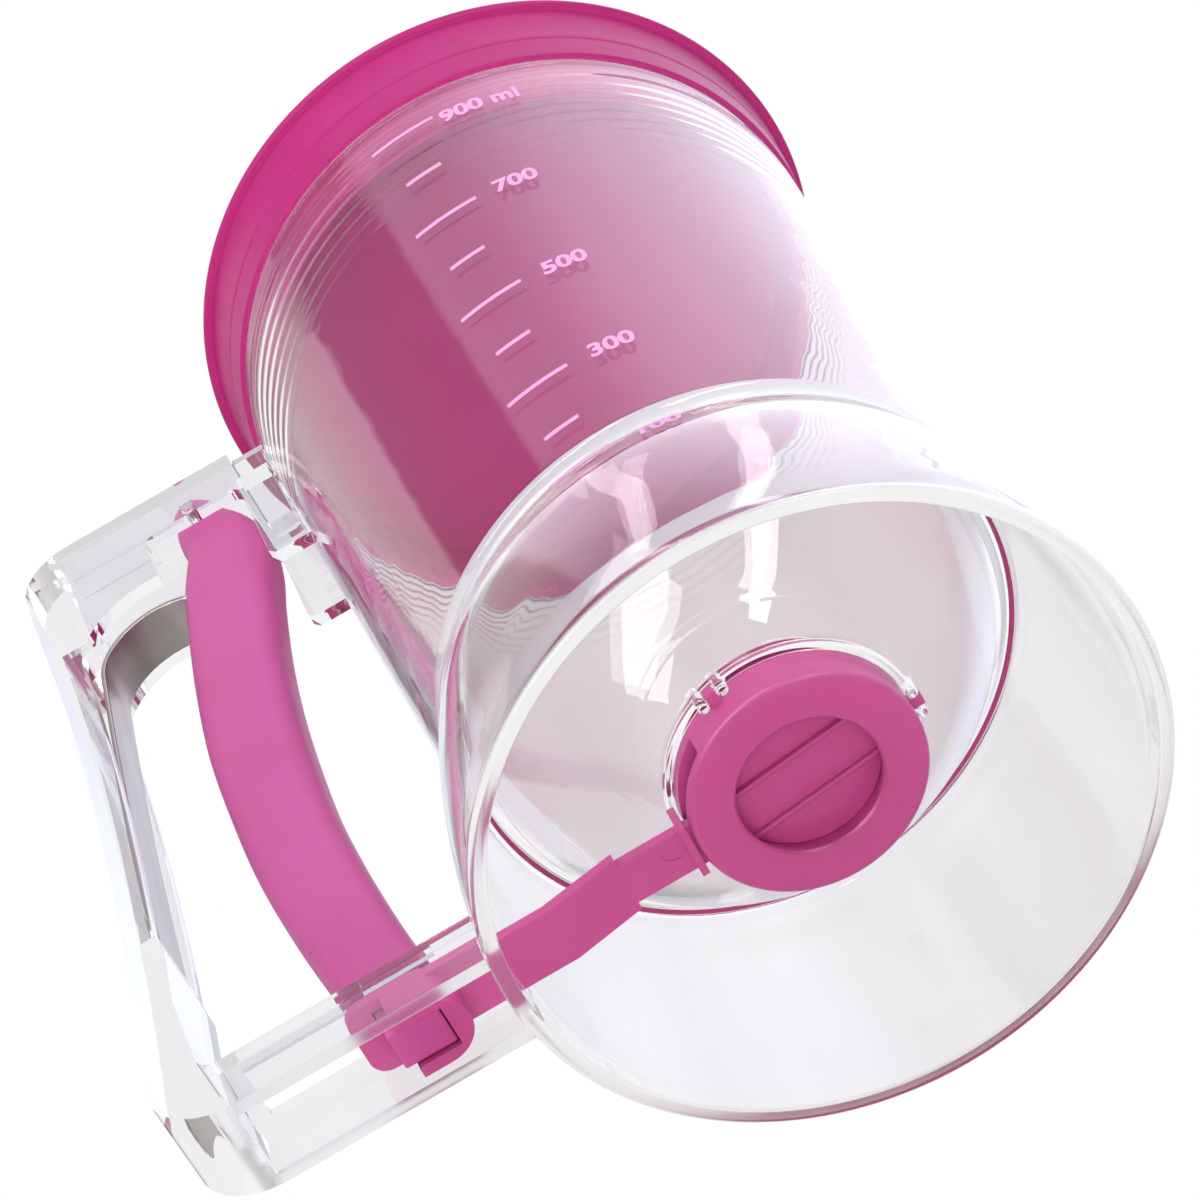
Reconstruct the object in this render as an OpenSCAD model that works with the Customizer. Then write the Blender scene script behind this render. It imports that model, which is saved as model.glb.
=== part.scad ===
// Squeeze-handle batter dispenser: a clear jug with a funnel floor, a sliding
// gate valve under the outlet, and a squeeze trigger inside the handle loop.
// X runs away from the handle, Z is up, the jug's axis is the Z axis and the
// open foot stands on Z = 0.

/* [Jug] */
// Outside radius of the open foot
foot_r = 54; // [52:0.5:57]
// Height of the clear jug, foot to rim
jug_h = 161; // [158:1:168]
// Height at which the bell-shaped foot meets the straight wall
waist_z = 48; // [46:1:51]
// Outside radius at the waist
waist_r = 46.6; // [45.6:0.2:47.8]
// Outside radius at the rim
rim_r = 51.3; // [50.5:0.1:52]
// Wall of the clear moulding
wall = 2.3; // [2:0.1:2.6]
// Height of the cylindrical land inside the foot
foot_land = 4; // [3:0.5:5]
// Number of fine grip ridges under the rim
ridge_count = 4; // [0:1:5]
// Spacing of those ridges
ridge_pitch = 3.4; // [3:0.1:4]
// Height of a ridge above the wall
ridge_h = 0.45; // [0.3:0.05:0.6]

/* [Outlet] */
// Bore of the outlet neck
neck_bore_r = 18.9; // [18:0.1:19.4]
// Wall of the outlet neck
neck_wall = 1.4; // [1.2:0.1:1.8]
// Height of the neck's lower rim
neck_z = 15.5; // [15:0.5:16.5]
// Height at which the funnel meets the neck
throat_z = 19; // [18.8:0.1:20]
// Length of the locating pegs below the neck's rim
peg_drop = 2.3; // [1.8:0.1:2.6]
// Radius of a locating peg
peg_r = 0.95; // [0.8:0.05:1.1]

/* [Valve] */
// Height of the valve collar's lower face
collar_z = 8.7; // [8.2:0.1:9.2]
// Radius of the pouring hole
hole_r = 11.4; // [10.5:0.1:12]
// Thickness of the ring around the pouring hole
lip_t = 1.2; // [1:0.1:1.5]
// Height of the gate's carrier ring
gate_h = 3.8; // [3.4:0.1:4]
// Outside radius of the gate's carrier ring
gate_r = 14.2; // [13.8:0.1:14.6]
// Wall of the carrier ring around the gate disc
gate_wall = 1.8; // [1.4:0.1:2]
// Thickness of the gate disc
disc_t = 1.3; // [1.2:0.1:1.6]
// Spacing of the disc's two ribs
rib_gap = 8.2; // [7:0.1:9]
// Thickness of a rib
rib_t = 0.8; // [0.7:0.1:1.2]
// Height of a rib below the disc
rib_h = 1.1; // [0.8:0.1:2]
// Turn of the ribs from the line of the slide
rib_turn = -6.5; // [-10:0.5:0]
// Thickness of the silicone valve seal
seal_t = 1.5; // [1.2:0.1:1.8]

/* [Gate arm] */
// Thickness of the gate's arm
arm_t = 1.8; // [1.6:0.1:2]
// Width of the arm beside the valve
arm_w = 7.6; // [7:0.1:8.4]
// Width of the arm where it passes through the foot
tail_w = 10.2; // [9.6:0.1:10.8]
// Drop of the arm between the valve and the foot
jog = 2.8; // [2.4:0.1:3]
// Distance of the start of that drop from the jug's axis
jog_x = 30.5; // [29:0.5:32]
// Length of the drop along the arm
jog_len = 11.5; // [10:0.5:13]
// Radius of the round moulding mark on the arm's underside
mark_r = 2.1; // [1.6:0.1:2.4]
// Width of the loop at the arm's end
loop_w = 11.6; // [11:0.1:11.8]
// Thickness of the front wall of the loop's skirt
skirt_t = 3.2; // [2.6:0.1:3.6]
// Length of the skirt along the arm
skirt_len = 10.5; // [9:0.1:11]
// Height of the skirt's lower edge
skirt_z = 1.8; // [1.5:0.1:2.4]
// Stroke of the gate
stroke = 19; // [15:0.5:19.5]

/* [Handle] */
// Width of the clear handle frame
frame_w = 17; // [16.4:0.2:18]
// Top of the upper arm
arm_top = 163.5; // [163:0.5:165]
// Underside of the upper arm
arm_under = 140; // [138:0.5:142]
// Underside of the lower arm
low_under = 0.4; // [0.3:0.1:0.8]
// Top of the lower arm
low_top = 11.6; // [11.4:0.1:12.2]
// Reach of the handle at the top of the grip
grip_top_x = 98; // [97:0.2:100]
// Reach of the handle at the foot of the grip
grip_foot_x = 107.2; // [106:0.2:109]
// Thickness of the grip
grip_t = 5; // [4.6:0.1:5.4]
// Height of the lower end of the channel in the grip
seat_z = 50; // [48:1:53]
// Extra thickness of the grip below that channel
grip_step = 1.3; // [0:0.1:1.6]
// Height of the notch in the upper arm's walls that shows the trigger
notch_z = 152.5; // [148:0.5:153]
// Width of the guide rail under the upper arm's roof
rail_w = 3.7; // [3:0.1:5]

/* [Trigger] */
// Distance of the trigger's pivot from the jug's axis
pivot_x = 66.3; // [65.6:0.1:67]
// Height of the trigger's pivot
pivot_z = 155.5; // [154.5:0.1:156]
// Radius of the steel pivot pin
pin_r = 1.25; // [1.15:0.05:1.5]
// Width of the trigger
trigger_w = 11.6; // [11:0.1:11.8]
// Depth of the trigger, front to back
trigger_d = 15.6; // [15:0.2:16.6]
// Radius of the trigger's bow
bow_r = 330; // [300:5:380]
// Distance of the bow's middle from the jug's axis
bow_x = 72.9; // [72.2:0.1:73.4]
// Height of the bow's middle
bow_z = 70; // [66:1:74]
// Width of the tongue that drives the gate
tongue_w = 7; // [6:0.1:7.4]
// Thickness of the tongue along the slide
tongue_t = 8.8; // [8.2:0.1:9]

/* [Spring] */
// Width of the steel leaf spring
leaf_w = 9.5; // [8.5:0.1:10]
// Thickness of the leaf spring
leaf_t = 0.9; // [0.7:0.05:1]
// Radius of the spring's bend
bend_r = 12.2; // [11.8:0.1:12.8]
// Distance of the bend's centre from the jug's axis
bend_x = 78.9; // [78.4:0.1:79.8]
// Height of the bend's centre
bend_z = 125.2; // [124:0.2:126]
// Lean of the spring's leg below the bend, in degrees
leaf_lean = 7; // [6:0.5:7.5]
// Radius of the leg's slight bow
leg_r = 1400; // [1200:50:1800]

/* [Lid] */
// Height of the lid above the rim
lid_h = 17; // [15:0.5:19]
// Outside radius of the lid's lip
lip_r = 54.8; // [54:0.1:56]
// Wall of the lid
lid_wall = 2; // [1.6:0.1:2.4]
// Depth of the lid's plug inside the jug
plug_h = 9; // [7:0.5:11]
// Depth of the dish in the lid's top
dish_h = 10; // [8:0.5:11]

/* [Fits] */
// Clearance of a piece that slides or lifts
slip = 0.3; // [0.25:0.05:0.4]
// Clearance of a piece that stays in its seat
snug = 0.05; // [0.03:0.01:0.1]

/* [Hidden] */
$fn = 96;
eps = 0.02;

neck_r = neck_bore_r + neck_wall;
collar_r = neck_bore_r - 2 * snug;
gate_z = collar_z + lip_t + slip / 2;          // underside of the gate
gate_top = gate_z + gate_h;
slot_top = gate_top + snug;                    // roof of the gate's slot
seal_z = slot_top;
disc_r = gate_r - gate_wall - snug;
arm_z = gate_z + 0.1;                          // underside of the arm, inner part
tail_z = arm_z - jog;                          // underside of the arm, outer part
lever = pivot_z - tail_z - arm_t / 2;          // pivot to the drive point
channel_w = frame_w - 2 * wall;                // inside width of both arms
tongue_x = pivot_x + 1.2;                      // centre of the tongue
loop_x0 = tongue_x - tongue_t / 2 - slip - skirt_t;  // inner end of the loop
loop_x1 = tongue_x + tongue_t / 2 + 4.5;       // outer end of the loop
notch_x0 = pivot_x + 9.1;                      // side of the notch towards the grip
notch_x1 = rim_r + 5.5;                        // side of the notch towards the jug
body_low = low_top + 0.6;                      // flat lower end of the trigger's bow
body_high = arm_under + 3;                     // where the bow meets the head
rim_seat = jug_h + snug;                       // underside of the lid's flange

PEG_ANGLES = [0, 108, 252];                    // round the neck, from +X

// Easing of the bell-shaped foot: flat at the waist, steep at first below it.
function ease(u) = sin(90 * u) * (1 - exp(-pow(u / 0.14, 2)));
// Outside radius of the jug at height z.
function jug_r(z) = z < waist_z
    ? waist_r + (foot_r - waist_r) * ease(1 - z / waist_z)
    : waist_r + (rim_r - waist_r) * (z - waist_z) / (jug_h - waist_z);
// Outside of the jug from foot to rim, as [radius, height].
function jug_side() = concat([[foot_r - 0.9, 0]],
    [for (z = [1:2:waist_z - 2]) [jug_r(z), z]],
    [for (z = [waist_z:waist_z / 8:waist_z * 1.3]) [jug_r(z), z]],
    [[rim_r, jug_h - 0.6]]);
// Height of the funnel's upper surface at radius r.
function funnel_z(r) = let (u = (r - neck_bore_r) / (waist_r - wall - neck_bore_r))
    throat_z + (waist_z + 2 - throat_z) * (0.45 * u + 0.55 * u * u);
// Points on an arc in the X-Z plane, about c, from angle a to angle b.
function arc(c, r, a, b, n = 8) =
    [for (i = [0:n]) let (t = a + (b - a) * i / n) [c[0] + r * cos(t), c[1] + r * sin(t)]];

// Stands an X-Z outline up and gives it a width along Y, centred.
module slab(w) {
    rotate([90, 0, 0]) linear_extrude(w, center = true) children();
}

// ---- Clear jug -------------------------------------------------------------

module jug_profile() {
    inside = foot_r - wall - 0.3;
    deck = wall * 1.1;
    polygon(concat(
        jug_side(),
        [[rim_r - 0.6, jug_h]],
        // inside, rim to funnel
        [[rim_r - wall + 0.4, jug_h], [rim_r - wall, jug_h - 0.6]],
        [[waist_r - wall + 0.25, waist_z + 4]],
        [for (i = [0:14]) let (r = waist_r - wall - (waist_r - wall - neck_bore_r) * i / 14)
            [r, funnel_z(r)]],
        // neck
        [[neck_bore_r, neck_z + 0.3], [neck_bore_r + 0.3, neck_z],
         [neck_r - 0.3, neck_z], [neck_r, neck_z + 0.3]],
        // underside of the funnel, then the inside of the bell
        [for (i = [1:11]) let (r = neck_bore_r + (waist_r - wall - neck_bore_r) * i / 12)
            if (r > neck_r) [r, funnel_z(r) - deck - 0.6]],
        [for (z = [waist_z - 8:-3:foot_land + 2]) [jug_r(z) - wall, z]],
        [[inside, foot_land], [inside, 0]]));
}

module pegs() {
    for (a = PEG_ANGLES, s = [-1, 1]) rotate(a + s * 5.6)
        translate([neck_bore_r + peg_r + snug, 0, neck_z - peg_drop])
            cylinder(r = peg_r, h = peg_drop + 3, $fn = 32);
}

module ridges() {
    for (i = [0:1:ridge_count - 1]) let (z = jug_h - 6 - i * ridge_pitch)
        rotate_extrude() translate([jug_r(z) + ridge_h - 0.8, z]) circle(0.8, $fn = 24);
}

module jug() {
    color("#eef0f4", 0.35) difference() {
        union() {
            rotate_extrude() jug_profile();
            ridges();
            pegs();
        }
        // slot in the foot for the gate's arm
        translate([-foot_r - 4, -loop_w / 2 - slip, tail_z - slip])
            cube([16, loop_w + 2 * slip, arm_z + arm_t - tail_z + 2 * slip]);
    }
}

// ---- Clear handle frame ------------------------------------------------------

// Reach of the grip's outer face at height z: near upright above, flared below.
function grip_x(z) = let (top = arm_under - 15, foot = low_top + 0.4)
    grip_top_x + (grip_foot_x - grip_top_x) * pow(max(0, (top - z) / (top - foot)), 1.75);

module frame_outline() {
    thick = grip_t + grip_step;
    inner = concat([for (z = [30, seat_z - 7]) [-grip_x(z) + thick, z]],
                   [for (z = [seat_z - 1:16:114]) [-grip_x(z) + grip_t, z]]);
    polygon(concat(
        [[-jug_h / 4, arm_top - 3], [-rim_r - 4.7, arm_top - 3], [-rim_r - 5.2, arm_top]],
        arc([-grip_top_x + 10, arm_top - 10], 10, 90, 180),
        [for (z = [142:-12:22]) [-grip_x(z), z]],
        arc([-grip_foot_x + 12, low_under + 12], 12, 184, 270),
        [[-foot_r + 5, low_under], [-foot_r + 5, low_top]],
        [[-grip_foot_x + thick + 5.5, low_top]],
        arc([-grip_foot_x + thick + 5.5, low_top + 3], 3, 270, 190, 4),
        inner,
        arc([-grip_top_x + grip_t + 15, arm_under - 15], 15, 180, 90),
        // gusset beside the jug
        [[-notch_x1, arm_under], [-notch_x1, arm_under - 11],
         [-rim_r - 4.5, arm_under - 12.5], [-rim_r + 8, arm_under - 12.5]]));
}

module channels() {
    // upper arm, open below: the trigger's head swings in it
    translate([-grip_top_x + 8, -channel_w / 2, arm_under - 16])
        cube([grip_top_x - 8 - rim_r + 6, channel_w, arm_top - wall - arm_under + 16]);
    // grip, open towards the fingers: the spring's leg lies in it
    slab(channel_w) polygon(concat(
        [for (i = [0:7]) let (z = seat_z + (134 - seat_z) * i / 7) [-grip_x(z) + wall, z]],
        [[-grip_top_x + 24, 134], [-grip_top_x + 24, seat_z]]));
    // lower arm, open below: the gate's loop runs in it
    translate([-loop_x1 - stroke - 2 * slip, -channel_w / 2, low_under - 1])
        cube([loop_x1 + stroke + 2 * slip - foot_r + 8, channel_w, low_top - 1.8 - low_under + 1]);
    // slot in its roof for the trigger's tongue
    translate([-tongue_x - tongue_t / 2 - stroke - 2, -tongue_w / 2 - 0.6, low_under])
        cube([stroke + tongue_t + 5, tongue_w + 1.2, 20]);
    // and a wider one for the arm's drop, beside the jug
    translate([-tongue_x - tongue_t / 2, -arm_w / 2 - 1.6, low_under])
        cube([tongue_x + tongue_t / 2 - foot_r + 8, arm_w + 3.2, 20]);
}

// Notch in both walls of the upper arm, with round upper corners.
module notch(r = 2.5) {
    slab(frame_w + 2) {
        translate([-notch_x0, arm_under - 16]) square([notch_x0 - notch_x1, notch_z - r - arm_under + 16]);
        translate([-notch_x0 + r, arm_under - 16])
            square([notch_x0 - notch_x1 - 2 * r, notch_z - arm_under + 16]);
        for (x = [-notch_x0 + r, -notch_x1 - r]) translate([x, notch_z - r]) circle(r, $fn = 48);
    }
}

// The jug's outside as a solid, to trim what is joined to the wall.
module jug_core() {
    rotate_extrude() polygon(concat([[0, -1], [foot_r - 0.9, -1]], jug_side(),
                                    [[rim_r, jug_h + 9], [0, jug_h + 9]]));
    ridges();
}

module handle_frame() {
    color("#f2f3f6", 0.35) difference() {
        union() {
            difference() {
                slab(frame_w) frame_outline();
                channels();
                notch();
            }
            // guide rail under the upper arm's roof, behind the trigger
            translate([-grip_top_x + 8 - eps, -rail_w / 2, arm_top - wall - 1.1])
                cube([grip_top_x - 8 + eps - notch_x0, rail_w, 1.1 + eps]);
            // cross rib that stops the trigger's head
            translate([-notch_x1, -channel_w / 2 - eps, pivot_z - 4.5])
                cube([notch_x1 - rim_r + 2, channel_w + 2 * eps, 5]);
            // tabs that hold the spring's foot in the grip
            for (s = [0, 1]) mirror([0, s, 0])
                translate([-grip_x(seat_z) + wall - 0.3, leaf_w / 2 + slip / 3, seat_z - eps])
                    cube([grip_t - wall, (channel_w - leaf_w) / 2 - slip / 3 + eps, 5]);
        }
        jug_core();
        translate([-pivot_x, 0, pivot_z]) rotate([90, 0, 0])
            cylinder(r = pin_r + snug / 2, h = frame_w + 2, center = true, $fn = 48);
    }
}

// ---- Valve -----------------------------------------------------------------

module valve_collar() {
    top = throat_z - 1;
    color("#d6348c") difference() {
        union() {
            rotate_extrude() polygon(concat(
                [[hole_r, collar_z + 0.4], [hole_r + 0.4, collar_z]],
                arc([collar_r - 1.2, collar_z + 1.2], 1.2, 270, 360, 5),
                [[collar_r, top], [collar_r - 0.8, top]],
                // seat cone, then the throat
                [[hole_r + 0.8, slot_top + seal_t + 1.8], [hole_r, slot_top + seal_t + 1]]));
            // keys between the jug's pegs
            for (a = PEG_ANGLES) rotate(a)
                translate([collar_r - 1, -0.9, neck_z - peg_drop + 0.3])
                    cube([neck_r - collar_r + 1.6, 1.8, peg_drop - 0.5]);
        }
        // pocket that the gate lies in, and its way out towards the handle
        translate([0, 0, collar_z + lip_t]) cylinder(r = gate_r + slip, h = slot_top - collar_z - lip_t);
        translate([-neck_r - 2, -gate_r - slip, collar_z + lip_t])
            cube([neck_r + 2, 2 * (gate_r + slip), slot_top - collar_z - lip_t]);
        // groove for the seal
        translate([0, 0, slot_top - eps]) cylinder(r = gate_r - 0.6, h = seal_t + eps);
    }
}

module valve_seal() {
    color("#e9e4e6") translate([0, 0, seal_z + snug]) difference() {
        cylinder(r = gate_r - 0.6 - snug, h = seal_t - 2 * snug);
        translate([0, 0, -1]) cylinder(r = hole_r, h = seal_t + 2);
    }
}

module gate_slide() {
    x1 = jog_x;
    x2 = jog_x + jog_len;
    color("#d6348c") {
        difference() {
            union() {
                translate([0, 0, gate_z]) cylinder(r = gate_r, h = gate_h);
                // arm beside the valve
                translate([-x1, -arm_w / 2, arm_z]) cube([x1 - gate_r + 1, arm_w, arm_t]);
            }
            translate([0, 0, gate_z - 1]) cylinder(r = disc_r + snug, h = gate_h + 2);
            // round moulding mark
            translate([-jog_x + 8.3, -arm_w / 5, arm_z - 1]) cylinder(r = mark_r, h = 1.25, $fn = 48);
        }
        // flange that meets the collar when the valve is shut
        translate([-collar_r - slip - 1.2, -4.8, collar_z + 0.3])
            cube([1.2, 9.6, gate_top - collar_z + 0.6]);
        // the drop, and the tail through the foot
        slab(tail_w) polygon([[-x1, arm_z], [-x1, arm_z + arm_t], [-x2 - 1, tail_z + arm_t],
                              [-loop_x0 - 2, tail_z + arm_t], [-loop_x0 - 2, tail_z], [-x2, tail_z]]);
        // loop that the trigger's tongue drives, with a deep skirt round its front
        skirt_x = loop_x0 + loop_w / 2;
        difference() {
            union() {
                translate([-loop_x1 + 3, -loop_w / 2, tail_z]) cube([loop_x1 - skirt_x - 3, loop_w, arm_t]);
                translate([-loop_x1, -loop_w / 2 + 3, tail_z]) cube([6, loop_w - 6, arm_t]);
                for (s = [-1, 1]) translate([-loop_x1 + 3, s * (loop_w / 2 - 3), tail_z])
                    cylinder(r = 3, h = arm_t, $fn = 48);
                translate([-skirt_x, -tail_w / 2, tail_z]) cube([skirt_x - loop_x0, tail_w, arm_t]);
                translate([-skirt_x, 0, skirt_z]) cylinder(r = loop_w / 2, h = tail_z + arm_t - skirt_z);
                translate([-loop_x0 - skirt_len, -loop_w / 2, skirt_z])
                    cube([loop_x0 + skirt_len - skirt_x, loop_w, tail_z + arm_t - skirt_z]);
            }
            translate([-tongue_x - tongue_t / 2 - slip, -tongue_w / 2 - slip, tail_z - 1])
                cube([tongue_t + 2 * slip, tongue_w + 2 * slip, arm_t + 2]);
            // inside of the skirt, open towards the grip
            translate([-loop_x0 - skirt_len - 3, -tongue_w / 2 - slip, skirt_z - 1])
                cube([skirt_len + 3 - skirt_t, tongue_w + 2 * slip, tail_z - skirt_z + 1 + eps]);
        }
    }
}

module gate_disc() {
    color("#c92b80") intersection() {
        translate([0, 0, gate_z]) cylinder(r = disc_r, h = gate_h);
        union() {
            translate([0, 0, gate_top - disc_t]) cylinder(r = disc_r + 1, h = disc_t + 1);
            rotate(rib_turn) for (s = [-1, 1])
                translate([-disc_r - 1, s * rib_gap / 2 - rib_t / 2, gate_top - disc_t - rib_h])
                    cube([2 * disc_r + 2, rib_t, rib_h + eps]);
        }
    }
}

// ---- Trigger and spring ------------------------------------------------------

// Section of the bow: a rectangle with round corners.
module bow_section(r = 4.6) {
    square([trigger_d - 2 * r, trigger_w], center = true);
    square([trigger_d, trigger_w - 2 * r], center = true);
    for (i = [-1, 1], j = [-1, 1])
        translate([i * (trigger_d / 2 - r), j * (trigger_w / 2 - r)]) circle(r, $fn = 48);
}

module trigger() {
    a_low = asin((body_low - 1.6 - bow_z) / bow_r);
    a_high = asin((body_high - bow_z) / bow_r);
    head_r = 4.9;
    // where the bow's middle ends, under the head
    top_x = bow_r - bow_x - bow_r * cos(a_high);
    color("#d94c98") difference() {
        union() {
            // bow, cut level above the lower arm
            difference() {
                translate([bow_r - bow_x, 0, bow_z]) rotate([90, 0, 0]) rotate([0, 0, 180 - a_high])
                    rotate_extrude(angle = a_high - a_low, $fn = 360)
                        translate([bow_r, 0]) bow_section();
                translate([-bow_x - 20, -trigger_w, body_low - 20])
                    cube([40, 2 * trigger_w, 20]);
            }
            // head, with its upper edges rounded
            intersection() {
                slab(trigger_w) union() {
                    polygon([[top_x - trigger_d / 2 + 1.2, body_high - 5],
                             [-pivot_x - head_r + 0.4, pivot_z - 2], [-pivot_x - 1, pivot_z + head_r],
                             [-pivot_x + 2.6, pivot_z + head_r - 0.6], [-pivot_x + 6, pivot_z + 1.2],
                             [-pivot_x + 8.2, pivot_z - 5.5], [top_x + trigger_d / 2 - 0.8, body_high - 2],
                             [top_x + trigger_d / 2 - 1.6, body_high - 5]]);
                    translate([-pivot_x, pivot_z]) circle(head_r, $fn = 64);
                }
                translate([-pivot_x - 20, 0, 0]) rotate([90, 0, 90]) linear_extrude(40) {
                    translate([-trigger_w / 2, body_high - 9])
                        square([trigger_w, pivot_z + head_r - 3 - body_high + 9]);
                    translate([-trigger_w / 2 + 3, body_high - 9])
                        square([trigger_w - 6, pivot_z + head_r - body_high + 9]);
                    for (i = [-1, 1]) translate([i * (trigger_w / 2 - 3), pivot_z + head_r - 3])
                        circle(3, $fn = 48);
                }
            }
            // tongue through the lower arm into the gate's loop
            translate([-tongue_x - tongue_t / 2, -tongue_w / 2, skirt_z + 0.8])
                cube([tongue_t, tongue_w, body_low - skirt_z + 4.6]);
        }
        translate([-pivot_x, 0, pivot_z]) rotate([90, 0, 0])
            cylinder(r = pin_r + snug, h = frame_w, center = true, $fn = 48);
        // notch in the back for the spring's tip
        slab(leaf_w + 2 * slip) translate([-bend_x, bend_z]) intersection() {
            difference() {
                circle(bend_r + leaf_t / 2 + 1.4);
                circle(bend_r - leaf_t / 2 - 1.4);
            }
            polygon([[0, 0], [0, 40], [24, 40], [24, 14]]);
        }
    }
}

module pivot_pin() {
    color("#b9bcc0") translate([-pivot_x, 0, pivot_z]) rotate([90, 0, 0])
        cylinder(r = pin_r, h = frame_w - 0.4, center = true, $fn = 48);
}

module leaf_spring() {
    // centre of the leg's bow, from the bend's centre, and where the leg ends
    c = (leg_r - bend_r) * [cos(leaf_lean), -sin(leaf_lean)];
    foot = asin((seat_z + 2 * snug - bend_z - c[1]) / leg_r);
    color("#c6c8cb") slab(leaf_w) translate([-bend_x, bend_z]) {
        // bend, from the leg over to the tip
        intersection() {
            difference() {
                circle(bend_r + leaf_t / 2);
                circle(bend_r - leaf_t / 2);
            }
            polygon([[0, 0], [-30 * cos(leaf_lean), 30 * sin(leaf_lean)], [-30, 30], [30 * sin(34), 30 * cos(34)]]);
        }
        // leg, down to the end of the grip's channel
        polygon(concat(arc(c, leg_r + leaf_t / 2, 180 - leaf_lean - 0.02, 180 - foot),
                       arc(c, leg_r - leaf_t / 2, 180 - foot, 180 - leaf_lean - 0.02)));
    }
}

// ---- Lid ---------------------------------------------------------------------

module lid() {
    top = jug_h + lid_h;
    plug_r = rim_r - wall - slip - 0.25;
    band = 6;            // height of the lower band
    floor_z = top - dish_h;
    // concave flare from the band to the lip
    base_r = rim_r + 1.2;
    out = lip_r - 0.6 - base_r;
    up = lid_h - 1.5 - snug - band;
    bend = (up * up + out * out) / (2 * out);
    color("#d6277f") rotate_extrude() polygon(concat(
        // underside of the flange, then the outside up to the rolled lip
        [[plug_r, rim_seat], [rim_r + 0.4, rim_seat], [rim_r + 0.8, rim_seat + 0.4],
         [base_r - 0.1, rim_seat + band - 0.3]],
        arc([base_r + bend, rim_seat + band], bend, 180, 180 - asin(up / bend), 6),
        arc([lip_r - 0.8, top - 0.8], 0.8, -20, 90, 5),
        // dish
        [[lip_r - lid_wall - 0.6, top - 0.1], [lip_r - lid_wall - 1.4, top - 1.2],
         [rim_r + 1.2 - lid_wall, floor_z + 2.5], [rim_r - lid_wall - 1, floor_z], [0, floor_z],
         // underside of the floor, then the plug
         [0, floor_z - lid_wall], [plug_r - lid_wall - 0.6, floor_z - lid_wall],
         [plug_r - lid_wall, floor_z - lid_wall - 0.6],
         [plug_r - lid_wall, jug_h - plug_h + 0.5], [plug_r - lid_wall + 0.5, jug_h - plug_h],
         [plug_r - 0.8, jug_h - plug_h], [plug_r, jug_h - plug_h + 1.6]]));
}

jug();
handle_frame();
valve_collar();
valve_seal();
gate_slide();
gate_disc();
trigger();
pivot_pin();
leaf_spring();
lid();
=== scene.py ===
import math

import bmesh
import bpy
from mathutils import Matrix, Vector


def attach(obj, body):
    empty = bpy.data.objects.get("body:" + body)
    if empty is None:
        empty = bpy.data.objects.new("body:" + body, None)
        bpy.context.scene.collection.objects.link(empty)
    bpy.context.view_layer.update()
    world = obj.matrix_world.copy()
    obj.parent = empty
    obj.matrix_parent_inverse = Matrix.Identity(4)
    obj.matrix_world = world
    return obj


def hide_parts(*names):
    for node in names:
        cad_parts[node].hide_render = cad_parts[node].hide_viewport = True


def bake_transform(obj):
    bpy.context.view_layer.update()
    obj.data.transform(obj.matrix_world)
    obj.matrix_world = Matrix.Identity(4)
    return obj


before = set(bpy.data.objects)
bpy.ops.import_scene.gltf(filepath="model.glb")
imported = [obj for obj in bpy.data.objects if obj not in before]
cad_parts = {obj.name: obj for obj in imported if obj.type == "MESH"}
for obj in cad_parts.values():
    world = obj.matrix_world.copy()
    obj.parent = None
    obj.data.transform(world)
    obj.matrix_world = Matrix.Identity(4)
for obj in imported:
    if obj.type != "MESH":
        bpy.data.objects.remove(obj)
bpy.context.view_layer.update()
mm = 0.001

# ---- Clear jug and loop handle ----------------------------------------------
# One moulding in clear styrene plastic: a tapered wall with fine grip ridges
# under its rim, a funnel floor that runs into the outlet neck, a flared open
# foot, and a loop handle of open channels that grows out of the wall.


class Socket:
    """A shader value: arithmetic on it adds the nodes that work it out."""

    def __init__(self, tree, socket):
        self.tree = tree
        self.socket = socket

    def math(self, operation, *values):
        return self.tree.node("ShaderNodeMath", {"operation": operation}, list(values))

    def __add__(self, other):
        return self.math("ADD", self, other)

    def __sub__(self, other):
        return self.math("SUBTRACT", self, other)

    def __mul__(self, other):
        return self.math("MULTIPLY", self, other)

    def __rsub__(self, other):
        return self.math("SUBTRACT", other, self)

    __radd__ = __add__
    __rmul__ = __mul__

    def ramp(self, low, high, at_low=0.0, at_high=1.0):
        """at_low where this is below low and at_high where it is above high, smoothly between."""
        settings = {"interpolation_type": "SMOOTHSTEP"}
        return self.tree.node("ShaderNodeMapRange", settings,
                              {"Value": self, "From Min": low, "From Max": high,
                               "To Min": at_low, "To Max": at_high})

    def mix(self, first, second):
        """A colour between the first, where this is 0, and the second, where it is 1."""
        return self.tree.node("ShaderNodeMix", {"data_type": "RGBA"},
                              {0: self, 6: (*first, 1), 7: (*second, 1)}, out=2)


class Nodes:
    """A node tree whose nodes are added by type, settings and socket values."""

    def __init__(self, tree):
        self.tree = tree

    def link(self, value, target):
        if isinstance(value, Socket):
            self.tree.links.new(value.socket, target)
        else:
            target.default_value = value

    def node(self, kind, settings=None, values=None, out=0):
        """Adds a node, with its settings first and then its sockets' values."""
        made = self.tree.nodes.new(kind)
        for key, value in (settings or {}).items():
            setattr(made, key, value)
        pairs = enumerate(values) if isinstance(values, list) else (values or {}).items()
        for key, value in pairs:
            self.link(value, made.inputs[key])
        return Socket(self, made.outputs[out])

    def ray(self, what):
        """What the light path says of the present ray, such as Is Shadow Ray."""
        return self.node("ShaderNodeLightPath", out=what)


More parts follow.
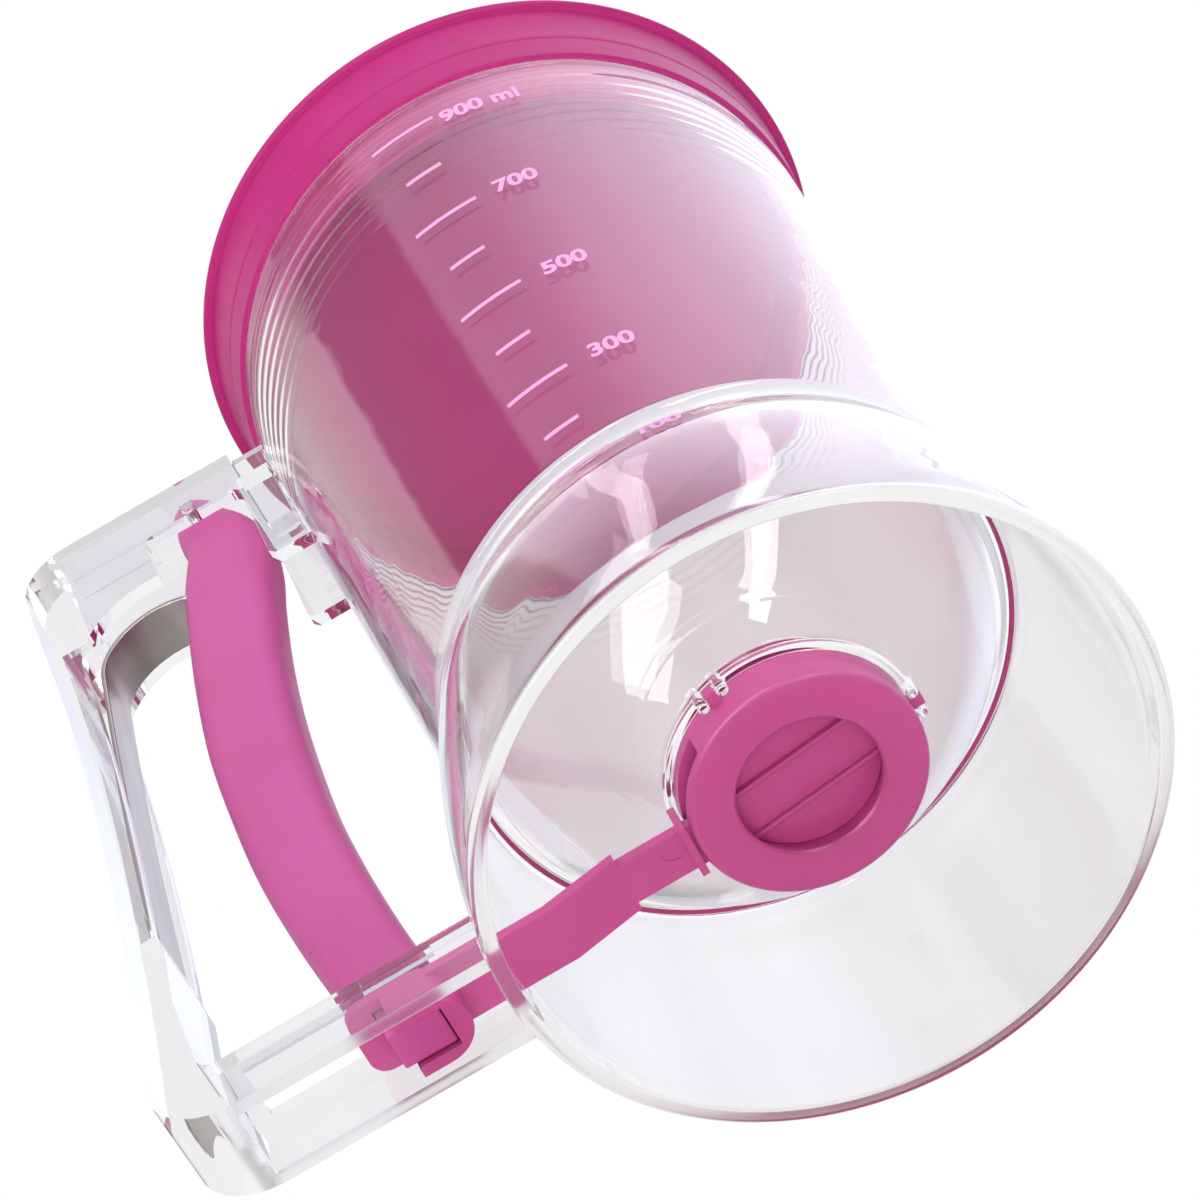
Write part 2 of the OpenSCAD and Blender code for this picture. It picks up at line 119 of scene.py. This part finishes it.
class Finish(Nodes):
    """A material around one Principled shader, with plain values that noise may replace."""

    def __init__(self, name, colour, roughness, **sockets):
        self.material = bpy.data.materials.new(name)
        self.material.use_nodes = True
        super().__init__(self.material.node_tree)
        self.shader = self.tree.nodes["Principled BSDF"]
        self.output = self.tree.nodes["Material Output"]
        self.set(base_color=(*colour, 1), roughness=roughness, **sockets)

    def set(self, **sockets):
        """Sets or links sockets of the Principled shader, by their names."""
        for key, value in sockets.items():
            name = key.replace("_", " ").title().replace("Ior", "IOR")
            self.link(value, self.shader.inputs[name])

    def noise(self, size, detail=2.0, stretch=(1, 1, 1)):
        """Soft noise with features of about that size, in metres."""
        where = self.node("ShaderNodeVectorMath", {"operation": "MULTIPLY"},
                          [self.node("ShaderNodeTexCoord", out="Object"), stretch])
        return self.node("ShaderNodeTexNoise", {},
                         {"Vector": where, "Scale": 1 / size, "Detail": detail})

    def bump(self, height, depth, strength):
        """Feeds the Normal with a height field, in metres of relief."""
        made = self.node("ShaderNodeBump", {},
                         {"Strength": strength, "Distance": depth, "Height": height})
        self.set(normal=made)

    def see_through(self, where):
        """Lets light straight through the surface where the value is 1."""
        shader = Socket(self, self.shader.outputs[0])
        mixed = self.node("ShaderNodeMixShader", {},
                          {0: where, 1: shader, 2: self.node("ShaderNodeBsdfTransparent")})
        self.link(mixed, self.output.inputs["Surface"])

    def coat(self, piece):
        piece.data.materials.clear()
        piece.data.materials.append(self.material)


def as_object(name, mesh):
    made = bpy.data.objects.new(name, mesh)
    bpy.context.scene.collection.objects.link(made)
    return made


def from_shape(name, shape):
    """An object from a bmesh, which is freed."""
    bmesh.ops.recalc_face_normals(shape, faces=shape.faces)
    mesh = bpy.data.meshes.new(name)
    shape.to_mesh(mesh)
    shape.free()
    mesh.shade_smooth()
    return as_object(name, mesh)


def rounded(corners, steps=6):
    """Outline points from (x, y, radius) corners, each rounded by its radius."""
    points = []
    for i, (x, y, radius) in enumerate(corners):
        here = Vector((x, y))
        before = Vector(corners[i - 1][:2]) - here
        after = Vector(corners[(i + 1) % len(corners)][:2]) - here
        if radius <= 0:
            points.append((x, y))
            continue
        before_way, after_way = before.normalized(), after.normalized()
        half = before_way.angle(after_way) / 2
        reach = min(radius / math.tan(half), before.length * 0.499, after.length * 0.499)
        radius = reach * math.tan(half)
        centre = here + (before_way + after_way).normalized() * radius / math.sin(half)
        start = here + before_way * reach - centre
        end = here + after_way * reach - centre
        turn = math.atan2(start.cross(end), start.dot(end))
        for k in range(steps + 1):
            spoke = Matrix.Rotation(turn * k / steps, 2) @ start
            points.append(tuple(centre + spoke))
    return points


def lathe(name, outline, turns=256):
    """Turns a closed outline of (radius, height), in mm, round the Z axis."""
    shape = bmesh.new()
    rings = []
    for radius, height in outline:
        if radius < 1e-6:
            pole = shape.verts.new((0, 0, height * mm))
            rings.append([pole] * turns)
            continue
        spin = [2 * math.pi * k / turns for k in range(turns)]
        r, z = radius * mm, height * mm
        rings.append([shape.verts.new((r * math.cos(a), r * math.sin(a), z)) for a in spin])
    for i, ring in enumerate(rings):
        above = rings[(i + 1) % len(rings)]
        for k in range(turns):
            corners = [ring[k], ring[(k + 1) % turns], above[(k + 1) % turns], above[k]]
            unique = list(dict.fromkeys(corners))
            if len(unique) > 2:
                shape.faces.new(unique)
    return from_shape(name, shape)


def applied(piece):
    """Replaces the piece's mesh by what its modifiers make of it."""
    graph = bpy.context.evaluated_depsgraph_get()
    mesh = bpy.data.meshes.new_from_object(piece.evaluated_get(graph))
    piece.modifiers.clear()
    piece.data = mesh
    return piece


def combine(piece, others, operation):
    """Joins other closed pieces to this one, or cuts them out of it."""
    for other in others:
        step = piece.modifiers.new(operation, "BOOLEAN")
        step.operation = operation
        step.solver = "MANIFOLD"
        step.object = other
    applied(piece)
    for other in others:
        bpy.data.objects.remove(other)


def block(low, high):
    """A plain cutter from its lowest to its highest corner, in mm."""
    shape = bmesh.new()
    bmesh.ops.create_cube(shape, size=1)
    size = Vector(high) - Vector(low)
    for vert in shape.verts:
        vert.co = (Vector(low) + (vert.co + Vector((0.5, 0.5, 0.5))) * size) * mm
    return from_shape("cutter", shape)


def rod(radius, start, end):
    """A round bar between two points, in mm, with rounded ends."""
    axis = Vector(end) - Vector(start)
    rim = radius * 0.35
    length = axis.length
    outline = rounded([(0, 0, 0), (radius, 0, rim), (radius, length, rim), (0, length, 0)], 3)
    bar = lathe("rod", outline, 32)
    turn = Vector((0, 0, 1)).rotation_difference(axis).to_matrix().to_4x4()
    bar.data.transform(Matrix.Translation(Vector(start) * mm) @ turn)
    return bar


def smooth_edges(piece, edge, steps=3, angle=30):
    """Rounds the piece's edges and keeps its flat faces flat to the light."""
    round_off = piece.modifiers.new("edge", "BEVEL")
    round_off.width = edge * mm
    round_off.segments = steps
    round_off.limit_method = "ANGLE"
    round_off.angle_limit = math.radians(angle)
    round_off.miter_outer = "MITER_ARC"
    applied(piece)
    return flat_to_light(piece)


def flat_to_light(piece, sharp=40):
    """Shades large faces flat and small ones as roundings, up to a sharp angle."""
    piece.data.shade_smooth()
    piece.data.set_sharp_from_angle(angle=math.radians(sharp))
    weighted = piece.modifiers.new("normals", "WEIGHTED_NORMAL")
    weighted.keep_sharp = True
    return applied(piece)


def from_solid(name, node):
    """A copy of a CAD solid with its flat faces whole."""
    piece = as_object(name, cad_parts[node].data.copy())
    shape = bmesh.new()
    shape.from_mesh(piece.data)
    bmesh.ops.remove_doubles(shape, verts=shape.verts, dist=1e-6)
    bmesh.ops.dissolve_limit(shape, angle_limit=math.radians(0.5), verts=shape.verts,
                             edges=shape.edges, use_dissolve_boundaries=False)
    mesh = bpy.data.meshes.new(name)
    shape.to_mesh(mesh)
    shape.free()
    piece.data = mesh
    return piece


foot_r, waist_r, rim_r = 54, 46.6, 51.3
waist_z, jug_h = 48, 161
wall = 2.3
neck_bore_r, neck_r, neck_z, throat_z = 18.9, 20.3, 15.5, 19
ridge_h, ridge_pitch, ridge_count, ridge_half_w = 0.15, 3.4, 7, 1.1
first_ridge_drop, ridge_fade = 6, 9
peg_turns, peg_off_turn, peg_ring_r, peg_r, peg_drop = (0, 108, 252), 5.6, 19.9, 0.95, 2.3


def jug_r(z):
    """Outside radius of the jug at a height."""
    if z >= waist_z:
        return waist_r + (rim_r - waist_r) * (z - waist_z) / (jug_h - waist_z)
    drop = 1 - z / waist_z
    flare = math.sin(math.pi / 2 * drop) * (1 - math.exp(-(drop / 0.14) ** 2))
    return waist_r + (foot_r - waist_r) * flare


def ridged_r(z):
    """The same, with the fine ridges under the rim, each a little flatter than the last."""
    swell = 0
    for i in range(ridge_count):
        off = (z - (jug_h - first_ridge_drop - i * ridge_pitch)) / ridge_half_w
        swell += ridge_h * (1 - i / ridge_fade) * math.exp(-off * off)
    return jug_r(z) + swell


def funnel_z(r):
    """Height of the funnel's upper surface at a radius."""
    u = (r - neck_bore_r) / (waist_r - wall - neck_bore_r)
    return throat_z + (waist_z + 2 - throat_z) * (0.45 * u + 0.55 * u * u)


# heights go up the outside, with close steps over the ridges, and down the inside
flare_steps = [1.2 + 1.3 * k for k in range(36)]
wall_steps = [50 + 4 * k for k in range(20)]
ridge_steps = [129.6 + 0.3 * k for k in range(101)]
outside = [(ridged_r(z), z, 0) for z in flare_steps + wall_steps + ridge_steps]
inner_wall = [(jug_r(z) - wall, z, 0) for z in (156, 130, 100, 75, 62)]
funnel = [(waist_r - wall + 0.1, waist_z + 1.6, 4)]
funnel += [(r, funnel_z(r), 0) for r in (40 - 1.5 * k for k in range(14))]
funnel_wall = wall * 1.1 + 0.6
underside = [(r, funnel_z(r) - funnel_wall, 0) for r in (21.5 + 1.5 * k for k in range(14))]
bell = [(jug_r(z) - wall, z, 0) for z in (41.5 - 2.5 * k for k in range(15))]
foot_inside = foot_r - wall - 0.3
profile = ([(foot_r - 0.3, 0, 0.9)] + outside
           + [(rim_r, jug_h, 0.7), (rim_r - wall, jug_h, 0.7)] + inner_wall + funnel
           + [(neck_bore_r, throat_z, 1.5), (neck_bore_r, neck_z, 0.4), (neck_r, neck_z, 0.4)]
           + [(neck_r, 16.6, 0.4)] + underside + [(waist_r - wall + 0.1, waist_z - 2.6, 0.8)] + bell
           + [(foot_inside, 4, 0.6), (foot_inside, 0, 0.3)])
jug = lathe("clear_jug", rounded(profile))

# pegs below the neck's rim, in three pairs, and the slot for the gate's arm
pegs = []
for turn in peg_turns:
    for side in (-peg_off_turn, peg_off_turn):
        a = math.radians(turn + side)
        x, y = peg_ring_r * math.cos(a), peg_ring_r * math.sin(a)
        pegs.append(rod(peg_r, (x, y, neck_z - peg_drop), (x, y, neck_z + 2.5)))
combine(jug, pegs, "UNION")

# the handle's ends reach a little into the wall before the two are joined
handle = smooth_edges(from_solid("clear_handle", "handle_frame"), 0.5)
at_wall, into_wall = 0.8, 1.0
for vert in handle.data.vertices:
    reach = math.hypot(vert.co.x, vert.co.y)
    if reach < (jug_r(vert.co.z / mm) + at_wall) * mm:
        vert.co.x += into_wall * mm
combine(jug, [handle], "UNION")
combine(jug, [block((-60, -6.1, 7.1), (-46, 6.1, 12.2))], "DIFFERENCE")
flat_to_light(jug, 50)

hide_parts("jug", "handle_frame")
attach(jug, "jug_body")

polish = 0.015
clear = Finish("clear_styrene", (0.87, 0.86, 0.875), polish, ior=1.53, transmission_weight=1.0)
streaks = clear.noise(0.018, 2, (1, 1, 0.2))
clear.set(base_color=streaks.mix((0.8, 0.79, 0.805), (0.93, 0.92, 0.935)))
place = clear.node("ShaderNodeTexCoord", out="Object")
rise = clear.node("ShaderNodeSeparateXYZ", {}, [place], out="Z")
worn_rim = rise.ramp(0.0003, 0.0014, 1.0, 0.0)
clear.set(roughness=polish + worn_rim * 0.3)
clear.bump(clear.noise(0.012, 1), 0.0003, 0.2)

# the clear wall throws a faint shadow, and light that has mirrored in it often goes straight out
mirrored = clear.ray("Glossy Depth")
deep = mirrored.math("GREATER_THAN", mirrored, 2.5)
clear.see_through(deep.math("MAXIMUM", clear.ray("Is Shadow Ray") * 0.9, deep))
clear.coat(jug)

# ---- Volume marks ------------------------------------------------------------
# Ticks every 100 ml and plain numbers, printed in pale pink ink on the wall.

print_pink = Finish("volume_print", (0.92, 0.42, 0.78), 0.45)
print_pink.set(roughness=0.4 + print_pink.noise(0.001) * 0.15)
print_pink.set(base_color=print_pink.noise(0.0015).mix((0.88, 0.38, 0.74), (0.96, 0.48, 0.84)))
tick_thick, tick_steps, ink_thick, figure_h = 1.0, 24, 0.03, 5.0
long_turn, short_turn = 13.4, 7.6


def on_wall(piece, turn, height, lift=0.04):
    """Wraps a flat drawing in X and Z round the jug, from a turn and a height."""
    for vert in piece.data.vertices:
        z = height + vert.co.z / mm
        r = ridged_r(z) + lift + vert.co.y / mm
        a = math.radians(turn) + vert.co.x / mm / r
        vert.co = Vector((r * math.cos(a), r * math.sin(a), z)) * mm
    return piece


def skin(shape, rings):
    """Closes a tube through equal rings of corners, with a face on each end."""
    count = len(rings[0])
    for low, high in zip(rings, rings[1:]):
        for k in range(count):
            shape.faces.new([low[k], low[(k + 1) % count], high[(k + 1) % count], high[k]])
    shape.faces.new(rings[0])
    shape.faces.new(rings[-1])


def tick(left, right, height):
    """A mark between two turns round the jug."""
    half = jug_r(height) * math.radians(right - left) / 2
    low, high = -tick_thick / 2, tick_thick / 2
    section = ((0, low), (0, high), (ink_thick, high), (ink_thick, low))
    shape = bmesh.new()
    rings = []
    for k in range(tick_steps + 1):
        x = half * (2 * k / tick_steps - 1)
        rings.append([shape.verts.new(Vector((x, y, z)) * mm) for y, z in section])
    skin(shape, rings)
    return on_wall(from_shape("tick", shape), (left + right) / 2, height)


def number(words, turn, height):
    """Bold figures that start at a turn, on a base line."""
    curve = bpy.data.curves.new("number", "FONT")
    curve.body = words
    curve.size = figure_h * mm
    curve.offset = 0.035 * figure_h * mm
    curve.extrude = ink_thick / 2 * mm
    curve.resolution_u = 4
    drawn = bpy.data.objects.new("number", curve)
    bpy.context.scene.collection.objects.link(drawn)
    graph = bpy.context.evaluated_depsgraph_get()
    mesh = bpy.data.meshes.new_from_object(drawn.evaluated_get(graph))
    bpy.data.objects.remove(drawn)
    for vert in mesh.vertices:
        vert.co = Vector((vert.co.x, -vert.co.z, vert.co.y))
    return on_wall(as_object("number", mesh), turn, height, 0.06)


def joined(name, pieces):
    """One object from several."""
    shape = bmesh.new()
    for piece in pieces:
        shape.from_mesh(piece.data)
        bpy.data.objects.remove(piece)
    mesh = bpy.data.meshes.new(name)
    shape.to_mesh(mesh)
    shape.free()
    return as_object(name, mesh)


# each long tick's height and left end, and where its figures start and stand
numbered = (("900 ml", 152.1, -100.5, -86.0, 148.9), ("700", 123.35, -101.3, -84.3, 121.8),
            ("500", 95.2, -102.2, -84.6, 93.3), ("300", 68.05, -103.0, -85.2, 66.6),
            ("100", 43.0, -104.0, -86.0, 39.4))
plain = ((137.9, -97.8), (109.2, -98.9), (81.4, -99.8), (54.7, -100.3))
marks = []
for words, height, left, start, base in numbered:
    marks.append(tick(left, left + long_turn, height))
    marks.append(number(words, start, base))
for height, left in plain:
    marks.append(tick(left, left + short_turn, height))
volume_marks = joined("volume_marks", marks)
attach(volume_marks, "jug_body")
print_pink.coat(volume_marks)

# ---- Valve ------------------------------------------------------------------
# A glossy pink collar stands in the neck, keyed between the jug's pegs. The
# gate slides in a pocket of it: a carrier ring on a flat arm, with a ribbed
# disc snapped into the ring. A silicone ring lies above the gate.

pink = Finish("valve_plastic", (0.54, 0.075, 0.27), 0.28)
pink.set(base_color=pink.noise(0.008).mix((0.52, 0.07, 0.255), (0.56, 0.085, 0.285)))
pink.set(roughness=0.3 + pink.noise(0.003) * 0.1)
pink.bump(pink.noise(0.0006), 0.00002, 0.4)
for node, name, body in (("valve_collar", "collar", "jug_body"),
                         ("gate_slide", "gate_arm", "gate"), ("gate_disc", "gate_disc", "gate")):
    piece = smooth_edges(from_solid(name, node), 0.22, 2)
    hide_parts(node)
    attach(piece, body)
    pink.coat(piece)

silicone = Finish("silicone", (0.85, 0.82, 0.83), 0.5)
silicone.set(roughness=0.45 + silicone.noise(0.002) * 0.15)
silicone.coat(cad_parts["valve_seal"])

# ---- Trigger and its pin ----------------------------------------------------
# A bowed lever in satin pink plastic. It turns on a steel pin in the upper arm
# and its tongue reaches through the lower arm into the loop of the gate's arm.

satin = Finish("trigger_plastic", (0.58, 0.1, 0.33), 0.4, specular_ior_level=0.3)
satin.set(base_color=satin.noise(0.02).mix((0.54, 0.085, 0.3), (0.62, 0.115, 0.36)))
satin.set(roughness=0.4 + satin.noise(0.004) * 0.1)
satin.bump(satin.noise(0.0005), 0.00002, 0.5)

# the lever's front and back as (height, x), in mm, from its foot to the top of its head
front = [(12.2, -61.2), (22.5, -62.6), (36, -63.9), (53, -65.0), (67, -65.3), (91, -64.2),
         (110, -62.2), (128, -59.2), (138, -57.1), (146, -56.6), (151, -58.0), (155, -60.2),
         (158.3, -63.2), (160.1, -66.3)]
back = [(12.2, -75.6), (22.5, -77.2), (36, -79.0), (53, -80.5), (67, -80.9), (91, -80.4),
        (110, -78.4), (128, -75.6), (138, -73.8), (144, -72.0), (148.5, -70.6), (153, -70.9),
        (157, -70.3), (160.1, -67.4)]
lever_half_w, head_round_z, head_round_h, head_pinch = 5.8, 157.4, 3.2, 3
lever_sides, squareness = 48, 0.62


def between(table, z):
    """A smooth value of the table at a height."""
    for i in range(len(table) - 1):
        if z <= table[i + 1][0]:
            break
    ends = [table[max(0, i - 1)], table[i], table[i + 1], table[min(len(table) - 1, i + 2)]]
    (z0, p0), (z1, p1), (z2, p2), (z3, p3) = ends
    t = (z - z1) / (z2 - z1)
    rise = p2 - p1
    out = (p2 - p0) / (z2 - z0) * (z2 - z1)
    into = (p3 - p1) / (z3 - z1) * (z2 - z1)
    return p1 + out * t + (3 * rise - 2 * out - into) * t * t + (out + into - 2 * rise) * t ** 3


def bowed_lever():
    """The trigger's body: a rounded section that follows the bow, closed at both ends."""
    levels = [12.2 + 2.2 * k for k in range(61)] + [147 + 0.6 * k for k in range(22)]
    shape = bmesh.new()
    rings = []
    for z in levels:
        x_front, x_back = between(front, z), between(back, z)
        depth = (x_front - x_back) / 2
        top = max(0, (z - head_round_z) / head_round_h)
        half_w = lever_half_w - head_pinch * (1 - math.sqrt(max(0, 1 - top * top)))
        ring = []
        for k in range(lever_sides):
            a = 2 * math.pi * k / lever_sides
            c, s = math.cos(a), math.sin(a)
            x = (x_front + x_back) / 2 + depth * math.copysign(abs(c) ** squareness, c)
            y = half_w * math.copysign(abs(s) ** squareness, s)
            ring.append(shape.verts.new(Vector((x, y, z)) * mm))
        rings.append(ring)
    skin(shape, rings)
    return from_shape("trigger_lever", shape)


trigger = bowed_lever()
tongue = block((-71.9, -3.5, 2.6), (-63.1, 3.5, 20))
smooth_edges(tongue, 0.4)
combine(trigger, [tongue], "UNION")
smooth_edges(trigger, 0.35, 3, 50)
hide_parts("trigger")
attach(trigger, "trigger")
satin.coat(trigger)

steel = Finish("pin_steel", (0.6, 0.6, 0.61), 0.25, metallic=1.0)
steel.set(roughness=0.2 + steel.noise(0.001) * 0.2)
steel.coat(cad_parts["pivot_pin"])

# ---- Leaf spring ------------------------------------------------------------
# A strip of rolled stainless steel, bent over at the top. Its leg lies in the
# grip and its tip presses on the back of the trigger.

strip = Finish("spring_steel", (0.42, 0.37, 0.36), 0.3, metallic=1.0)
strip.set(roughness=0.26 + strip.noise(0.002, 2, (1, 1, 0.05)) * 0.16)
leaf_w, leaf_t, corner = 9.5, 0.9, 1.8
bend_x, bend_z, bend_r, leg_r = -78.9, 125.2, 12.2, 1400
foot_z, lean, tip_turn, steps = 50.2, math.radians(7), math.radians(56.3), 48
leg_x = bend_x + (leg_r - bend_r) * math.cos(lean)
leg_z = bend_z - (leg_r - bend_r) * math.sin(lean)
leg_foot = math.asin((foot_z - leg_z) / leg_r)

# up the slightly bowed leg, and then over the bend to the tip
strip_line = []
for k in range(steps + 1):
    a = math.pi - leg_foot - (lean - leg_foot) * k / steps
    strip_line.append((leg_x + leg_r * math.cos(a), leg_z + leg_r * math.sin(a), a))
for k in range(1, steps + 1):
    a = math.pi - lean - (math.pi - lean - tip_turn) * k / steps
    strip_line.append((bend_x + bend_r * math.cos(a), bend_z + bend_r * math.sin(a), a))


def rolled_strip(name, points):
    """A flat strip along (x, z, facing) points, with rounded edges and end corners."""
    way = [0.0]
    for (x0, z0, _), (x1, z1, _) in zip(points, points[1:]):
        way.append(way[-1] + math.hypot(x1 - x0, z1 - z0))
    shape = bmesh.new()
    rings = []
    for (x, z, a), gone in zip(points, way):
        left = min(gone, way[-1] - gone, corner)
        half = leaf_w / 2 - corner + math.sqrt(max(0, corner ** 2 - (corner - left) ** 2))
        section = rounded([(-half, -leaf_t / 2, 0.3), (half, -leaf_t / 2, 0.3),
                           (half, leaf_t / 2, 0.3), (-half, leaf_t / 2, 0.3)], 3)
        spots = [Vector((x + out * math.cos(a), y, z + out * math.sin(a))) for y, out in section]
        rings.append([shape.verts.new(spot * mm) for spot in spots])
    skin(shape, rings)
    return from_shape(name, shape)


leaf = rolled_strip("spring_leaf", strip_line)
flat_to_light(leaf, 50)
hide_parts("leaf_spring")
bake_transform(leaf)
strip.coat(leaf)

# ---- Lid --------------------------------------------------------------------
# A flared pink lid that presses into the rim: a thin turned shell with a
# rolled lip, a dish in its top and a plug ring below.

lid_pink = Finish("lid_plastic", (0.51, 0.03, 0.2), 0.25, specular_ior_level=0.12)
lid_pink.set(base_color=lid_pink.noise(0.02).mix((0.49, 0.026, 0.19), (0.53, 0.036, 0.215)))
lid_pink.set(roughness=0.24 + lid_pink.noise(0.03, 0) * 0.1)

flare = [(52.5 + 0.9 * (k / 8) ** 2.2, 167.2 + 9.2 * k / 8, 0) for k in range(9)]
lid_outline = ([(48.45, 161.05, 0.2), (51.9, 161.05, 0.4), (52.3, 166.8, 0.5)] + flare
               + [(54.8, 176.6, 0.7), (54.8, 178, 0.8), (52.6, 178, 0.6), (51.6, 176.4, 1)]
               + [(50.5, 170.4, 1.5), (48.3, 168, 2), (0, 168, 0), (0, 166, 0)]
               + [(46.1, 166, 0.8), (46.1, 152, 0.5), (48.0, 152, 0.5), (48.45, 153.6, 0.5)])
lid = lathe("press_lid", rounded(lid_outline))
flat_to_light(lid, 60)
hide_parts("lid")
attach(lid, "lid")
lid_pink.coat(lid)

# ---- Floor, light and camera -------------------------------------------------
# A plain pale floor that shows only from above, soft lamps and a white room.
# The camera looks up at the dispenser from below its open foot.

floor_mesh = bpy.data.meshes.new("floor")
floor_mesh.from_pydata([(-3, -3, -0.0005), (3, -3, -0.0005), (3, 3, -0.0005), (-3, 3, -0.0005)],
                       [], [(0, 1, 2, 3)])
floor = as_object("floor", floor_mesh)
paper = Finish("floor_paper", (0.86, 0.86, 0.86), 0.8)
from_below = paper.node("ShaderNodeNewGeometry", out="Backfacing")
mirrored = paper.ray("Glossy Depth")
hidden = from_below.math("MAXIMUM", from_below, paper.ray("Is Shadow Ray"))
paper.see_through(hidden.math("MAXIMUM", hidden, mirrored.math("GREATER_THAN", mirrored, 0.5)))
paper.coat(floor)

room_world = bpy.data.worlds.new("room")
bpy.context.scene.world = room_world
room_world.use_nodes = True
room = Nodes(room_world.node_tree)

# light that has mirrored once, and light that has only gone through the clear wall
glossy, mirrored = room.ray("Is Glossy Ray"), room.ray("Glossy Depth")
once = mirrored.math("GREATER_THAN", mirrored, 0.5) * mirrored.math("LESS_THAN", mirrored, 1.5)
mirror = glossy * once
through = glossy.math("MAXIMUM", glossy, room.ray("Is Transmission Ray")) - mirror

# the room is white behind the dispenser, and dim on the other side
look = room.node("ShaderNodeTexCoord", out="Generated")
far_side = (-0.0015, 0.553, 0.833)
away = room.node("ShaderNodeVectorMath", {"operation": "DOT_PRODUCT"},
                 [look, far_side], out="Value")
white_side = away.ramp(-0.4, 0.7, 0.6, 1.0)

# in a mirror it has a bright hazy back, and dimmer patches at the left, overhead and underneath
across, along, up = (room.node("ShaderNodeSeparateXYZ", {}, [look], out=k) for k in range(3))
above = up.ramp(0.25, 0.4)
back_glow = 0.62 + across.ramp(-0.1, 0.5) * along.ramp(0.1, 0.5, 1.1, 0.7)
haze = above * across.ramp(-0.28, -0.24) * back_glow
back_left = across.ramp(-0.5, -0.4, 1.0, 0.0) * along.ramp(-0.14, -0.11) * 0.65
overhead = up.ramp(0.88, 0.99) * 0.5
low_sides = across.ramp(-0.55, -0.3, 1.0, 0.0) * 0.42 + across.ramp(0.8, 0.95) * 0.3
underneath = up.ramp(-0.75, -0.5, 0.35, 0.0)
passed = room.ray("Transmission Depth")
inside = passed.math("GREATER_THAN", passed, 0.5) * 0.4
upper = haze + above * (back_left + overhead)
in_mirror = 0.28 + underneath + upper + (1 - above) * (inside + low_sides)

dim = 0.5
strength = (dim + mirror * (in_mirror - dim)) + through * (white_side - dim)
background = room.tree.nodes["Background"]
seen = room.ray("Is Camera Ray")
room.link(strength + seen * (1 - strength), background.inputs["Strength"])
tint = haze.math("MINIMUM", haze * mirror, 1)
room.link(tint.mix((1, 1, 1), (0.84, 0.88, 1.0)), background.inputs["Color"])

aim = Vector((-0.01, 0, 0.08))
lamp_distance = 1.15
strip_centre = Vector((0, -0.03, 0.035))


def area_light(name):
    """An area lamp with its data, at the middle of the scene."""
    data = bpy.data.lights.new(name, "AREA")
    made = bpy.data.objects.new(name, data)
    bpy.context.scene.collection.objects.link(made)
    return made, data


def lamp(name, way, size, power):
    """A soft square lamp in a direction from the object, which no surface mirrors."""
    made, data = area_light(name)
    data.size = size
    data.energy = power
    made.location = aim + Vector(way).normalized() * lamp_distance
    made.rotation_euler = (aim - made.location).to_track_quat("-Z", "Y").to_euler()
    made.visible_transmission = made.visible_glossy = False


def way_to(turn, rise):
    """A direction from a turn round the jug and a rise above the level, in degrees."""
    a, b = math.radians(turn), math.radians(rise)
    return Vector((math.cos(a) * math.cos(b), math.sin(a) * math.cos(b), math.sin(b)))


def strip_lamp(name, top, bottom, width, glow):
    """A long white lamp between two directions, that shows only as a reflection."""
    upper_end, lower_end = way_to(*top), way_to(*bottom)
    middle = (upper_end + lower_end).normalized()
    length = upper_end.angle(lower_end) * 1.1
    made, data = area_light(name)
    data.shape = "RECTANGLE"
    data.size, data.size_y = width, length
    data.energy = glow * math.pi * width * length
    sideways = (upper_end - lower_end).normalized().cross(middle).normalized()
    turn = Matrix((sideways, middle.cross(sideways), middle)).transposed().to_4x4()
    made.matrix_world = Matrix.Translation(strip_centre + middle) @ turn
    made.visible_camera = made.visible_diffuse = False


lamp("key", (-0.15, -0.9, 0.45), 0.5, 5.5)
lamp("fill from below", (-0.1, -0.45, -0.9), 0.7, 6.5)
lamp("top", (0.1, 0.4, 1.2), 0.8, 4)
strip_lamp("left strip", (-84, 6), (-101, -19), 0.15, 9)
strip_lamp("left strip end", (-101, -19), (-150, -36), 0.34, 6)
strip_lamp("right strip", (-44, 6), (-64, -46), 0.17, 9)

camera_data = bpy.data.cameras.new("camera")
camera_data.sensor_width = 36
camera_data.lens = 150
camera = bpy.data.objects.new("camera", camera_data)
bpy.context.scene.collection.objects.link(camera)
camera.location = (-0.012031, -0.438066, -0.580336)
camera.rotation_euler = [math.radians(a) for a in (150.062, 15.992, 25.724)]
bpy.context.scene.camera = camera
bpy.context.scene.view_settings.view_transform = "Standard"
